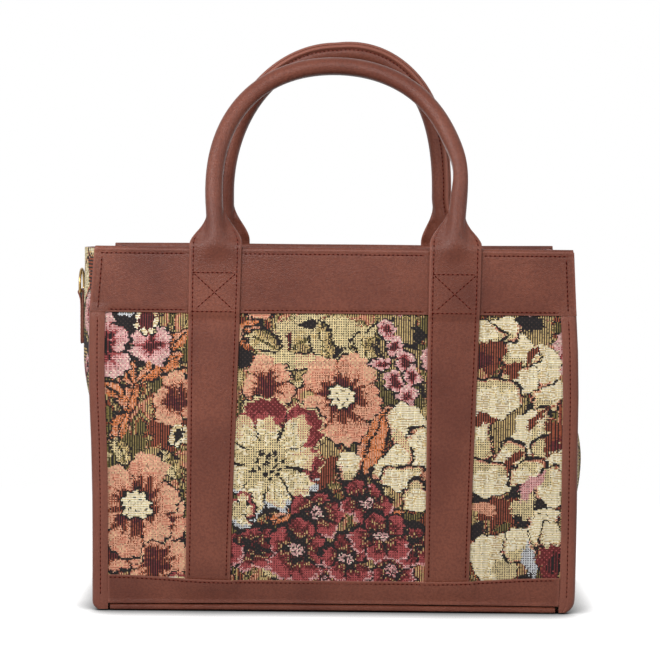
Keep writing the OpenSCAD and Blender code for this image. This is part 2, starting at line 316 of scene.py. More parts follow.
def lay_base(across, along):
    x = (across - 0.5) * 2 * BASE_HALF
    y, z = bent_path(base_path, along)
    uneven = 0.15 * wave(x, y, 1.0) * (np.abs(y) < 58)
    return x, y, z + uneven + 0.5 * (1 - (x / BASE_HALF) ** 2) * smooth((np.abs(y) - 40) / 20)


base = cut_sheet("base_leather", 106, 150, lay_base)
drop_faces(base, lambda middle: abs(middle.x) > 154 * MM and abs(middle.y) > 57.5 * MM)
make_thick(base, LEATHER_T)
finish_leather(base, "base_panel")

board, tree, shader, place = new_material("grey_board")
tone = tones(tree, noise(tree, place, 340.0, 6.0), linear(62, 56, 50), linear(104, 96, 86))
fill(tree, shader, {"Base Color": tone, "Roughness": 0.9})
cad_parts["base_board"].data.materials[0] = board


# Tapestry of the front, the back and the sides
# Stiff jacquard cloth with a traditional all-over pattern of garden flowers on black, woven
# in flat colours: solid, striped, netted and dotted. The sides are cut with the warp across.
THREADS = {
    "black": (33, 29, 30), "soot": (62, 50, 44), "olive": (126, 112, 64), "moss": (78, 70, 42),
    "cream": (226, 205, 156), "pale": (242, 231, 204), "peach": (222, 164, 134), "salmon": (202, 124, 100),
    "orange": (208, 122, 72), "rust": (150, 78, 54), "wine": (106, 44, 44), "rose": (170, 82, 82),
    "pink": (218, 168, 164), "mist": (208, 210, 212), "sand": (200, 172, 118),
}
KINDS = ("stripe", "net", "dots", "weft")
PAINTS = {
    "black": ("black", "soot", "dots"), "night": ("black", "olive", "stripe"),
    "straw": ("soot", "sand", "stripe"), "grass": ("olive", "black", "stripe"),
    "rusty": ("rust", "black", "stripe"), "ember": ("rust", "peach", "stripe"),
    "wine": ("wine", "black", "stripe"), "gilt": ("wine", "sand", "stripe"),
    "garnet": ("wine", "rose", "dots"), "ruby": ("rose", "wine", "net"),
    "blush": ("pink", "rose", "net"), "blossom": ("pink", "pale", "dots"),
    "petal": ("peach", "rust", "net"), "peach": ("peach", "salmon", "weft"),
    "apricot": ("peach", "cream", "dots"), "fire": ("orange", "soot", "net"),
    "orange": ("orange", "peach", "stripe"), "cream": ("cream", "pale", "weft"),
    "ivory": ("pale", "sand", "weft"), "lattice": ("cream", "moss", "net"),
    "grille": ("cream", "black", "net"), "reed": ("cream", "black", "stripe"),
    "fern": ("sand", "moss", "net"), "mist": ("mist", "soot", "net"), "veil": ("cream", "rose", "net"),
}
ORDER = list(PAINTS)
LILY = ("rusty", "reed", "grille", "lattice", "lattice", "cream", "ivory", "cream")
LEAF = ("rusty", "fire", "orange", "fire", "petal")
FERN = ("night", "grass", "straw", "fern", "grille", "lattice")
GROUND = ("night", "rusty", "straw", "grass", "ember", "gilt", "straw", "fern", "lattice")
POPPY = (("wine", "rusty", "rusty", "ember", "petal", "petal", "peach", "apricot"), 90, None)
PEONY = (("grille", "lattice", "lattice", "ivory", "cream", "lattice", "cream", "veil"), 60, ("ruby", "mist"))
CLUSTER = (("black", "wine", "gilt", "garnet", "wine", "garnet", "ruby", "ruby"), 270, ("blush", "black"))
PINKS = (("wine", "ruby", "blush", "blush", "blossom"), 90, None)
STAR = (("wine", "wine", "garnet", "cream", "ivory"), 90, None)
DAISY = (("black", "cream", "ivory"), 90, None)
BACKING = (("wine", "wine", "gilt", "garnet", "ruby", "ruby", "garnet"), 60, ("veil", "mist"))
REPEAT = (330.0, 250.0)


def ripple(u, v, size, seed):
    """Soft unevenness over the cloth with features of about that size, from about -1 to 1."""
    a, b = u / size, v / size
    broad = np.sin(a + 0.6 * b + seed) + np.sin(1.1 * b - 0.7 * a + 2.3 * seed)
    return (broad + np.sin(1.7 * a - 0.5 * b + 5.1 * seed) + np.sin(0.3 * a + 1.9 * b + 7.7 * seed)) / 2.6


def turned(a, b, degrees):
    """Offsets as seen from a direction: along it, and to its left."""
    c, s = math.cos(math.radians(degrees)), math.sin(math.radians(degrees))
    return a * c + b * s, b * c - a * s


class Loom:
    """Paints the cloth's repeat on a field of points, in millimetres across and up the cloth."""

    def __init__(self, u, v, column, row, seed):
        draw = np.random.default_rng(seed)
        self.speck = draw.random(len(u)) - 0.5
        self.night = ripple(u, v, 6.5, 3.0)
        slip = draw.normal(0, 0.55, (int(row.max()) + 2, int(column.max()) // 3 + 2))[row, column // 3]
        self.u = u + 1.5 * ripple(u, v, 5.0, 1.0) + 0.6 * ripple(u, v, 1.9, 2.0) + slip
        self.v = v + 1.5 * ripple(u, v, 5.0, 4.0) + 0.6 * ripple(u, v, 1.9, 5.0)
        self.paint = np.zeros(len(u), int)
        tone = 0.42 + 0.34 * ripple(u, v, 9.0, 6.0) + 0.22 * ripple(u, 0.45 * v, 3.2, 8.0)
        self.shade(np.arange(len(u)), np.full(len(u), True), GROUND, tone)

    def near(self, u, v, reach):
        """The points within reach of a place on the repeat, and their offsets from it."""
        du = (self.u - u + REPEAT[0] / 2) % REPEAT[0] - REPEAT[0] / 2
        dv = (self.v - v + REPEAT[1] / 2) % REPEAT[1] - REPEAT[1] / 2
        chosen = np.flatnonzero((np.abs(du) < reach) & (np.abs(dv) < reach))
        return chosen, du[chosen], dv[chosen]

    def lay(self, chosen, where, paint):
        """One paint where it is wanted."""
        self.paint[chosen[where]] = ORDER.index(paint)

    def shade(self, chosen, where, ramp, tone, blur=0.9):
        """Paints from a ramp by tone from 0 to 1, with single threads of the next tone strewn in."""
        level = np.floor(tone * len(ramp) + blur * self.speck[chosen])
        level = np.clip(level, 0, len(ramp) - 1).astype(int)
        self.paint[chosen[where]] = np.array([ORDER.index(p) for p in ramp])[level][where]

    def patch(self, u, v, half_u, half_v, turn, paint):
        """A ragged oval of one paint."""
        chosen, du, dv = self.near(u, v, 1.3 * max(half_u, half_v) + 3)
        along, aside = turned(du, dv, turn)
        a, b = along / half_u, aside / half_v
        angle = np.arctan2(b, a)
        uneven = 0.16 * np.sin(3 * angle + u) + 0.10 * np.sin(7 * angle + v) + 0.25 * self.speck[chosen]
        self.lay(chosen, np.hypot(a, b) < 1 + uneven, paint)

    def oval(self, u, v, half_u, half_v, turn, light):
        """A broad petal with a dark outline: solid to one side, netted and striped towards its root."""
        chosen, du, dv = self.near(u, v, 1.25 * max(half_u, half_v) + 4)
        along, aside = turned(du, dv, turn)
        a, b = along / half_u, aside / half_v
        angle = np.arctan2(b, a)
        reach = np.hypot(a, b) / (1 + 0.09 * np.sin(3 * angle + u) + 0.04 * np.sin(7 * angle + v))
        side = turned(du, dv, light)[0] / max(half_u, half_v)
        night = self.night[chosen]
        rim = 1.5 / min(half_u, half_v)
        self.lay(chosen, (reach < 1 + rim * (0.75 - 0.55 * side)) & (night > -0.8 + 0.5 * side), "black")
        tone = 0.78 + 0.46 * side + 0.13 * ripple(2.0 * du, 0.9 * dv, 5.0, u)
        self.shade(chosen, reach < 1, LILY, tone, 0.6)
        root = (reach < 1) & (reach > 1 - 0.7 * rim) & (side < 0.2)
        self.shade(chosen, root, ("ember", "veil", "petal"), 0.5 + 0.5 * night)

    def leaf(self, u, v, turn, length, width, ramp=LEAF, vein="black"):
        """A pointed leaf from its root at a place, with a vein."""
        chosen, du, dv = self.near(u, v, length + 4)
        along, aside = turned(du, dv, turn)
        along = along / length
        aside = aside + 0.07 * length * np.sin(3 * along + u)
        half = 0.5 * width * np.sin(np.pi * np.clip(along, 0, 1) ** 0.85) ** 0.8
        inside = (along > 0) & (along < 1)
        outline = (along > -0.03) & (along < 1.04) & (half - np.abs(aside) > -1.5)
        self.lay(chosen, outline & (self.night[chosen] > -0.5), "black")
        tone = 0.62 + 0.30 * np.clip(np.abs(aside) / (half + 0.5), 0, 1) * np.sign(aside + 1)
        self.shade(chosen, inside & (np.abs(aside) < half), ramp, tone + 0.2 * ripple(du, dv, 3.0, v))
        self.lay(chosen, inside & (np.abs(aside) < 0.75) & (along < 0.82), vein)

    def bloom(self, u, v, radius, petals, turn, kind, heart=None, heart_r=0.28, light=None):
        """An open flower: scalloped petals that overlap, a dark striped throat, and a heart with stamens."""
        ramp, usual_light, rim = kind
        chosen, du, dv = self.near(u, v, 1.2 * radius + 4)
        night = self.night[chosen]
        r, angle = np.hypot(du, dv), np.arctan2(dv, du) - math.radians(turn)
        phase = petals * angle / (2 * math.pi) + 0.5
        own, across = np.floor(phase) % petals, phase - np.floor(phase)
        reach = radius * (0.72 + 0.28 * np.sin(np.pi * across) ** 0.55)
        reach = reach * (1 + 0.12 * np.sin(2.4 * own + u) + 0.035 * np.sin(23 * angle + v))
        side = turned(du, dv, light or usual_light)[0] / radius
        self.lay(chosen, (r < reach + 1.5) & (night - 0.8 * side > -0.3), "black")
        share = r / reach
        seam = np.minimum(across, 1 - across) * 2 * np.pi * r / petals
        streak = np.sin(11 * angle + 3 * own) + np.sin(17 * angle + 5 * own + u)
        tone = 0.03 + 0.92 * smooth((share - 0.14 + 0.06 * streak) / 0.78)
        tone = tone - 0.5 * np.exp(-((seam / (0.04 * radius + 0.5)) ** 2)) * (share > 0.25)
        tone = tone + 0.12 - 0.24 * across + 0.10 * side
        tone = tone + 0.12 * ripple(1.6 * du, 1.6 * dv, 4.5, u) + 0.06 * np.sin(1.9 * own + v)
        self.shade(chosen, share < 1, ramp, tone, 0.7)
        if rim:
            lit = side + 0.5 * night
            self.lay(chosen, (seam < 0.7 + 0.5 * night) & (share > 0.55) & (share < 1), "black")
            self.lay(chosen, (share < 1) & (r > reach - 1.6) & (lit > -0.1), rim[0])
            self.lay(chosen, (share < 1) & (r > reach - 2.6) & (lit < -0.3), rim[1])
        if heart:
            inner = heart_r * radius
            ring = 0.52 * inner
            self.lay(chosen, r < inner * (1.25 + 0.15 * np.cos(9 * angle)), "black")
            self.lay(chosen, r < inner * (1.02 + 0.16 * np.cos(9 * angle)), heart)
            dots = np.hypot(r - ring, ring * (((angle * 6 / (2 * math.pi)) % 1) - 0.5) * 2 * math.pi / 6)
            self.lay(chosen, (dots < 0.9) & (self.speck[chosen] > -0.35), "black")

    def stem(self, points, paint, half=1.1):
        """A stem through points, with a dark line beside it."""
        for (u0, v0), (u1, v1) in zip(points, points[1:]):
            length = math.hypot(u1 - u0, v1 - v0)
            chosen, du, dv = self.near((u0 + u1) / 2, (v0 + v1) / 2, length / 2 + 3)
            c, s = (u1 - u0) / length, (v1 - v0) / length
            along, aside = np.abs(du * c + dv * s), dv * c - du * s
            self.lay(chosen, (along < length / 2 + 1) & (np.abs(aside - 1) < half + 1.2), "black")
            self.lay(chosen, (along < length / 2 + 1) & (np.abs(aside) < half), paint)


def paint_cloth(u, v, column, row, seed):
    """Index of the paint at each point of the cloth."""
    loom = Loom(u, v, column, row, seed)
    for field in (
        (20, 196, 26, 14, 20, "black"), (26, 172, 9, 14, 0, "black"), (52, 130, 15, 26, 0, "rusty"),
        (44, 160, 8, 9, 0, "night"), (20, 112, 14, 15, 0, "grass"), (50, 40, 15, 13, 0, "wine"),
        (20, 34, 13, 10, 0, "black"), (46, 98, 13, 14, 0, "straw"), (78, 190, 16, 26, 0, "grass"),
        (82, 60, 18, 34, 0, "night"), (108, 190, 13, 11, 0, "rusty"), (142, 188, 28, 15, 8, "grille"),
        (128, 172, 20, 11, 20, "lattice"), (152, 170, 15, 11, 30, "veil"),
        (176, 190, 20, 12, -10, "lattice"), (205, 178, 20, 26, 0, "straw"),
        (208, 146, 17, 22, 0, "night"), (128, 136, 22, 12, 0, "rusty"), (146, 132, 15, 14, 20, "gilt"),
        (152, 100, 15, 20, 0, "rusty"), (162, 116, 16, 10, 20, "straw"), (176, 122, 16, 10, 0, "rusty"),
        (184, 112, 10, 13, 0, "night"), (240, 190, 18, 22, 0, "night"), (243, 60, 18, 40, 0, "rusty"),
        (294, 196, 22, 10, 0, "straw"), (298, 200, 9, 7, 0, "black"), (282, 126, 17, 16, 0, "straw"),
        (302, 142, 6, 14, -35, "black"), (300, 84, 16, 14, 0, "black"), (280, 70, 17, 9, 0, "rusty"),
        (298, 68, 9, 8, 0, "black"), (165, 226, 90, 14, 0, "straw"), (60, 228, 46, 13, 0, "fern"),
        (280, 228, 42, 13, 0, "grass"), (165, 8, 130, 10, 0, "rusty"), (266, 82, 8, 6, 0, "black"),
        (262, 56, 9, 7, 0, "black"), (122, 76, 16, 9, 15, "black"), (112, 196, 6, 5, 30, "black"),
        (124, 186, 5, 4, 0, "black"), (148, 198, 6, 4, 0, "black"), (166, 180, 5, 3, 20, "black"),
        (222, 192, 5, 5, 0, "black"), (218, 184, 4, 3, 0, "black"), (206, 134, 10, 5, 0, "rusty"),
        (102, 176, 6, 8, 0, "black"), (136, 186, 6, 5, 60, "wine"),
    ):
        loom.patch(*field)
    for points, paint in (
        (((12, 118), (22, 140), (31, 158), (44, 172), (62, 188)), "orange"),
        (((22, 140), (13, 152), (12, 166)), "orange"), (((31, 158), (25, 170)), "orange"),
        (((38, 166), (52, 160), (62, 164)), "orange"), (((196, 160), (202, 180), (206, 202)), "straw"),
        (((200, 176), (192, 190)), "straw"), (((170, 120), (175, 104), (186, 88)), "straw"),
        (((228, 150), (222, 168), (212, 176)), "straw"), (((120, 64), (132, 58), (146, 62)), "rusty"),
    ):
        loom.stem(points, paint)
    for leaf in (
        (13, 118, 62, 22, 11), (22, 136, 70, 24, 13), (20, 146, 140, 17, 10), (29, 156, 115, 22, 11),
        (33, 158, 50, 22, 11), (44, 170, 20, 20, 12), (44, 172, 75, 20, 11), (54, 180, 50, 18, 11),
        (12, 162, 80, 20, 10), (104, 180, 70, 22, 13), (112, 198, 215, 20, 12), (178, 94, 58, 54, 17),
        (122, 60, 32, 26, 9), (234, 30, 70, 30, 13), (78, 84, 250, 30, 13), (250, 232, 170, 36, 13),
        (196, 62, 20, 20, 10), (214, 58, 250, 18, 9),
    ):
        loom.leaf(*leaf)
    for leaf in (
        (136, 178, 35, 30, 16), (160, 176, 105, 26, 15), (176, 180, 40, 28, 14), (126, 180, 155, 24, 13),
        (148, 166, 200, 24, 13), (192, 172, 120, 24, 12), (60, 92, 120, 24, 11), (232, 96, 110, 34, 14),
        (84, 150, 80, 34, 14), (60, 236, 10, 34, 13), (20, 100, 100, 22, 12), (206, 34, 200, 20, 9),
        (130, 26, 160, 20, 9),
    ):
        loom.leaf(*leaf, ramp=FERN, vein="night")
    for bloom in (
        (5, 182, 23, 5, 20, PINKS, None, 0, 200), (47, 62, 20, 5, 50, POPPY), (44, 33, 23, 5, 20, POPPY),
        (14, 42, 19, 5, 0, POPPY), (39, 183, 14, 4, 45, PINKS, None, 0, 270), (37, 199, 9, 7, 0, STAR),
        (57, 146, 18, 5, 30, POPPY, None, 0, 150), (60, 121, 8, 7, 0, DAISY),
        (30, 73, 33, 6, 12, POPPY, "cream", 0.27), (119, 156, 19, 5, 40, POPPY, None, 0, 120),
        (170, 148, 30, 5, 62, POPPY, "cream", 0.25, 110), (110, 44, 19, 5, 30, CLUSTER),
        (154, 68, 19, 5, 10, CLUSTER, "blossom", 0.2), (187, 76, 18, 5, 50, CLUSTER, "blossom", 0.2),
        (205, 28, 15, 5, 50, CLUSTER, "blush", 0.25), (160, 20, 15, 5, 20, CLUSTER, "blush", 0.25),
        (222, 46, 17, 5, 20, CLUSTER), (140, 42, 23, 5, 75, CLUSTER, "blossom", 0.19),
        (174, 36, 18, 5, 20, CLUSTER, "blossom", 0.2), (198, 52, 20, 5, 40, CLUSTER, "blossom", 0.18),
        (84, 114, 18, 6, 0, PEONY), (126, 112, 36, 5, 40, BACKING), (119, 103, 37, 9, 8, PEONY),
        (100, 70, 12, 5, 0, PEONY), (200, 194, 6, 5, 0, PINKS), (207, 183, 7, 5, 20, PINKS),
        (197, 172, 6, 5, 40, PINKS), (213, 172, 7, 5, 50, PINKS), (205, 160, 7, 5, 10, PINKS),
        (219, 163, 7, 5, 30, PINKS), (214, 150, 8, 4, 10, PINKS), (84, 190, 17, 5, 10, POPPY, "cream", 0.28),
        (243, 176, 18, 5, 40, PINKS, "cream", 0.24), (244, 100, 20, 6, 20, POPPY, "cream", 0.28),
        (84, 40, 18, 5, 0, CLUSTER, "blossom", 0.24), (30, 226, 22, 6, 0, PEONY),
        (120, 228, 24, 5, 30, POPPY, "cream", 0.28), (200, 228, 22, 5, 10, CLUSTER, "blossom", 0.22),
        (296, 228, 20, 5, 50, PINKS, "cream", 0.24), (60, 8, 18, 5, 20, PEONY),
        (250, 6, 19, 5, 20, POPPY, "cream", 0.26), (300, 8, 16, 5, 20, CLUSTER, "blush", 0.24),
    ):
        loom.bloom(*bloom)
    for dot in range(16):
        reach = math.sqrt(dot + 1)
        spot = (122 + 3.3 * reach * math.cos(2.4 * dot), 101 + 2.3 * reach * math.sin(2.4 * dot))
        loom.patch(*spot, 1.8, 1.4, 30, "black")
    for oval in (
        (311, 150, 13, 9, 30, 60), (305, 172, 17, 12, -25, 20), (292, 180, 12, 11, 0, 60),
        (281, 196, 10, 9, 0, 90), (264, 193, 15, 9, -15, 110), (290, 158, 15, 10, 30, -20),
        (271, 148, 22, 15, 0, -90), (262, 120, 11, 14, 0, 160), (300, 126, 11, 17, -20, 160),
        (314, 108, 13, 15, 0, -60), (284, 104, 10, 15, -35, -120), (271, 93, 17, 12, -10, -90),
        (300, 97, 14, 9, 20, -60), (313, 88, 10, 13, 0, -40), (309, 64, 11, 9, 30, 80),
        (276, 38, 18, 18, 0, 170), (302, 56, 13, 8, 45, 60), (315, 50, 8, 13, 0, 60),
        (292, 47, 10, 12, 0, 90), (215, 128, 13, 17, 15, 60), (223, 112, 11, 15, 0, 0),
        (205, 104, 15, 8, 35, 130), (213, 92, 14, 10, 0, -90), (222, 80, 9, 10, 0, -60),
        (176, 102, 7, 11, -20, 100),
    ):
        loom.oval(*oval)
    for field in (
        (270, 177, 12, 10, 10, "rusty"), (265, 174, 7, 6, 0, "wine"), (287, 168, 4, 8, -30, "rusty"),
        (300, 178, 3, 7, -50, "rusty"), (315, 122, 7, 12, -10, "rusty"), (318, 116, 4, 6, 0, "wine"),
        (304, 134, 3, 9, -40, "rusty"), (288, 106, 3, 9, -30, "rusty"), (314, 36, 10, 12, 0, "garnet"),
        (317, 34, 5, 7, 0, "wine"), (283, 30, 8, 6, 0, "grille"), (267, 134, 8, 4, 0, "rusty"),
        (296, 74, 9, 8, 45, "grille"), (300, 88, 4, 12, -35, "blush"), (268, 72, 10, 5, -20, "petal"),
        (300, 36, 4, 12, 10, "mist"), (212, 118, 3, 9, 30, "veil"),
    ):
        loom.patch(*field)
    return loom.paint


def weave_colours(u, v, column, row, seed):
    """Colour of each woven cell at u, v of the cloth, whose threads have these numbers."""
    paint = paint_cloth(u, v, column, row, seed)
    first = np.array([linear(*THREADS[PAINTS[name][0]]) for name in ORDER])
    second = np.array([linear(*THREADS[PAINTS[name][1]]) for name in ORDER])
    kind = np.array([KINDS.index(PAINTS[name][2]) for name in ORDER])[paint]
    stripes, rows = column % 2 == 1, row % 2 == 1
    dots = stripes & ((row + 2 * (column // 2 % 2)) % 4 == 0)
    shown = np.choose(kind, [stripes, stripes & rows, dots, ~rows])
    colour = np.where(shown[:, None], second[paint], first[paint])
    draw = np.random.default_rng(seed + 100)
    stray = draw.random(len(u)) < np.where(kind == KINDS.index("weft"), 0.025, 0.09)
    colour[stray] = 0.45 * colour[stray] + 0.55 * first[ORDER.index("black")]
    cell = draw.normal(1.0, 0.10, len(u))
    warp = draw.normal(1.0, 0.07, int(column.max()) + 2)[column]
    weft = draw.normal(1.0, 0.05, int(row.max()) + 2)[row]
    colour[:, :3] *= np.clip(cell * warp * weft, 0.6, 1.4)[:, None]
    return np.clip(colour, 0, 1)


tapestry, tree, shader, place = new_material("tapestry_cloth")
thread = add(tree, "ShaderNodeAttribute", {}, attribute_name="thread").outputs["Color"]
cells = add(tree, "ShaderNodeUVMap", {}, uv_map="weave").outputs["UV"]
parts = add(tree, "ShaderNodeSeparateXYZ", {0: cells})
ribs = []
for axis in ("X", "Y"):
    turn = calc(tree, "MULTIPLY", parts.outputs[axis], math.pi)
    ribs.append(calc(tree, "ABSOLUTE", calc(tree, "SINE", turn)))
rib = calc(tree, "MULTIPLY", *ribs)
# Painted shade: each woven cell is darkened towards its edges, as shade between the threads.
painted_gap_shade = ranged(tree, rib, 0.0, 0.7, 0.40, 1.02)
shaded = add(tree, "ShaderNodeVectorMath", {0: thread, "Scale": painted_gap_shade}, operation="SCALE").outputs[0]
bump = raised(tree, calc(tree, "ADD", rib, noise(tree, place, 2400.0, 2.0)), 0.5)
fill(tree, shader, {"Base Color": shaded, "Normal": bump, "Roughness": 0.85, "Specular IOR Level": 0.2})


def weave(piece, across, cell, shift, seed, warp_across=False):
    """Colours a cloth's cells by where they lie along one axis and up, and numbers its threads."""
    mesh = piece.data
    axes = [across, 2]
    low = np.array([piece.bound_box[0][axis] / MM for axis in axes])
    middle = np.empty(len(mesh.polygons) * 3)
    mesh.polygons.foreach_get("center", middle)
    middle = middle.reshape(-1, 3)[:, axes] / MM
    column, row = np.floor((middle - low) / cell).astype(int).T
    column = np.maximum(column, 0)
    u, v = (middle + shift).T
    if warp_across:
        u, v, column, row = v, u, row, column
    colour = weave_colours(u, v, column, row, seed)
    mark = mesh.attributes.new("thread", "FLOAT_COLOR", "FACE")
    mark.data.foreach_set("color", colour.astype(np.float32).ravel())
    corner = np.empty(len(mesh.loops), int)
    mesh.loops.foreach_get("vertex_index", corner)
    points = np.empty(len(mesh.vertices) * 3)
    mesh.vertices.foreach_get("co", points)
    points = points.reshape(-1, 3)[:, axes] / MM
    layer = mesh.uv_layers.new(name="weave")
    layer.data.foreach_set("uv", ((points[corner] - low) / cell).astype(np.float32).ravel())
    mesh.materials.append(tapestry)
    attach(piece, "bag")


EDGE_BOW = {
    -1: ([0, 30, 80, 116, 155, 180, 204, 225, 250], [0.4, 0.6, 0.8, 1.4, 2.8, 3.0, 2.7, 1.0, -0.8]),
    1: ([0, 15, 70, 150, 180, 204, 225, 250], [1.2, 1.7, 2.1, 2.0, 1.2, -0.2, -1.4, -2.7]),
}


def edge_bow(side, z):
    """How far the upright edge on one side stands outside its straight line at a height."""
    return np.interp(z, *EDGE_BOW[side])


def bowed(x, z, start, run):
    """x moved with the upright edges' bow, which sets in over a run from a start on."""
    return x + np.where(x < 0, -edge_bow(-1, z), edge_bow(1, z)) * smooth((np.abs(x) - start) / run)


PANEL_T = 2.3
PANEL_HALF, PANEL_LOW, PANEL_HIGH = 156.0, 20.0, 210.4
TUCK_HALF, TUCK_LOW, TUCK_HIGH = 163.4, 6.2, 247.0
for side, name, cell, shift, seed in (
    (-1, "front_panel", 0.8, (165.0, 0.0), 11),
    (1, "back_panel", 1.0, (60.0, 118.0), 12),
):
    columns, rows = round(2 * PANEL_HALF / cell), round((PANEL_HIGH - PANEL_LOW) / cell)

    def lay_panel(across, along):
        x = np.clip(-PANEL_HALF + (np.round(across * (columns + 2)) - 1) * cell, -PANEL_HALF, PANEL_HALF)
        x = np.where(across < 1e-4, -TUCK_HALF, np.where(across > 1 - 1e-4, TUCK_HALF, x))
        z = np.clip(PANEL_LOW + (np.round(along * (rows + 2)) - 1) * cell, PANEL_LOW, PANEL_HIGH)
        z = np.where(along < 1e-4, TUCK_LOW, np.where(along > 1 - 1e-4, TUCK_HIGH, z))
        inside = smooth((154 - np.abs(x)) / 14) * smooth((z - 24) / 14) * smooth((205 - z) / 14)
        x = bowed(x, z, 146, 14)
        return x, side * (62.4 + inside * (0.35 + 0.45 * wave(x, z, 4.0 + side))), z

    panel = cut_sheet(f"{name}_cloth", columns + 2, rows + 2, lay_panel)
    bpy.ops.object.mode_set(mode="EDIT")
    bpy.ops.mesh.select_all(action="SELECT")
    bpy.ops.mesh.region_to_loop()
    bpy.ops.mesh.extrude_edges_move(TRANSFORM_OT_translate={"value": (0, -side * PANEL_T * MM, 0)})
    bpy.ops.mesh.edge_face_add()
    bpy.ops.object.mode_set(mode="OBJECT")
    even_out(40)
    weave(panel, 0, cell, shift, seed)
    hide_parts(name)

SEAM_X, GUSSET_HALF, GUSSET_LOW, GUSSET_H, GUSSET_CELL = 159.0, 59.9, 2.2, 245.6, 1.2
BULGE = {-1: (9.0, 19.5), 1: (18.2, 4.4)}


def bulge(side, z):
    """How far a side stands out of its seam at a height, in its middle."""
    middle, top = BULGE[side]
    return middle * smooth((z - 2) / 98) + (top - middle) * smooth((z - 100) / 70)


for side, name, seed in ((-1, "left_gusset", 21), (1, "right_gusset", 22)):

    def lay_gusset(across, along):
        y, z = (across - 0.5) * 2 * GUSSET_HALF, GUSSET_LOW + along * GUSSET_H
        crown = (1 - (2 * across - 1) ** 2) ** 2
        fold = 0.9 * wave(2.2 * y, z, 2.0 + side) * crown * smooth(z / 60)
        x = SEAM_X - 0.9 + edge_bow(side, z) * (1 - crown) + bulge(side, z) * crown + fold
        return side * x, y, z

    columns, rows = round(2 * GUSSET_HALF / GUSSET_CELL), round(GUSSET_H / GUSSET_CELL)
    gusset = cut_sheet(f"{name}_cloth", columns, rows, lay_gusset)
    make_thick(gusset, 1.6, rounding=0)
    weave(gusset, 1, GUSSET_CELL, (80.0 + 120 * side, 40.0), seed, warp_across=True)
    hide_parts(name)


# Lining
# A brown cotton lining hangs inside as a bag of its own, sewn under the folded top bands at
# the front and the back and carried up the sides to their edge.
lining_paint, tree, shader, place = new_material("brown_lining")
threads = noise(tree, place, 900.0, 3.0)
tone = tones(tree, threads, linear(74, 52, 40), linear(124, 96, 76))
fill(tree, shader, {"Base Color": tone, "Normal": raised(tree, threads, 0.4), "Roughness": 0.85})

bpy.ops.object.select_all(action="DESELECT")
bpy.ops.mesh.primitive_cube_add(size=1)
lining = bpy.context.object
lining.name = lining.data.name = "lining_cloth"
bpy.ops.object.mode_set(mode="EDIT")
bpy.ops.mesh.select_all(action="SELECT")
bpy.ops.mesh.subdivide(number_cuts=39)
bpy.ops.object.mode_set(mode="OBJECT")
drop_faces(lining, lambda middle: middle.z > 0.4999)
points = np.empty(len(lining.data.vertices) * 3)
lining.data.vertices.foreach_get("co", points)
a, b, c = (points.reshape(-1, 3) + 0.5).T
x, y = (a - 0.5) * 311.6, (b - 0.5) * 117.2
at_end, at_face = np.abs(a - 0.5) > 0.4999, np.abs(b - 0.5) > 0.4999
on_side = at_end & (np.abs(b - 0.5) < 0.49)
z = 5.6 + c * np.where(on_side, 240.0, 207.5)
crown = (1 - (2 * b - 1) ** 2) ** 2
push = np.where(a < 0.5, -bulge(-1, z), bulge(1, z)) * crown * on_side
sag = 0.8 * wave(x + 30, z + y, 5.0) * smooth(np.minimum(c, 1 - c) / 0.2)
x = x + push * 0.96 + np.where(at_end, np.sign(0.5 - a) * (0.9 + np.abs(sag)), 0)
y = y + np.where(at_face, np.sign(0.5 - b) * (0.4 + np.abs(sag)), 0)
lining.data.vertices.foreach_set("co", (np.stack([x, y, z], axis=1) * MM).ravel())
lining.data.update()
make_thick(lining, 0.7, rounding=0, angle=60)
lining.data.materials.append(lining_paint)
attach(lining, "bag")
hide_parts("lining")


# Bindings of the upright edges
# Narrow leather strips folded round the upright edges of both panels and sewn through along
# their middle. They run from the rounded lower corners up under the top bands.
STITCH_PITCH = 3.1

thread_paint, tree, shader, place = new_material("brown_thread")
fill(tree, shader, {"Base Color": linear(104, 44, 34), "Roughness": 0.8, "Specular IOR Level": 0.1})
# Painted shade: a dark disc is laid at each stitch hole for the shade inside it.
hole_shade_paint, tree, shader, place = new_material("stitch_hole_shade")
fill(tree, shader, {"Base Color": linear(58, 17, 12), "Roughness": 1.0, "Specular IOR Level": 0.0})

bpy.ops.object.select_all(action="DESELECT")
bpy.ops.mesh.primitive_uv_sphere_add(segments=6, ring_count=4, radius=0.5)
stitch = bpy.context.object
stitch_points = np.array([v.co[:] for v in stitch.data.vertices])[:, [2, 0, 1]] * (1.9, 0.60, 0.50)
stitch_faces = [list(f.vertices) for f in stitch.data.polygons]
bpy.ops.object.delete()
bpy.ops.mesh.primitive_circle_add(vertices=8, radius=0.5, fill_type="NGON")
hole = bpy.context.object
hole_points = np.array([v.co[:] for v in hole.data.vertices]) * (1.9, 0.85, 1.0)
hole_faces = [list(f.vertices) for f in hole.data.polygons]
bpy.ops.object.delete()


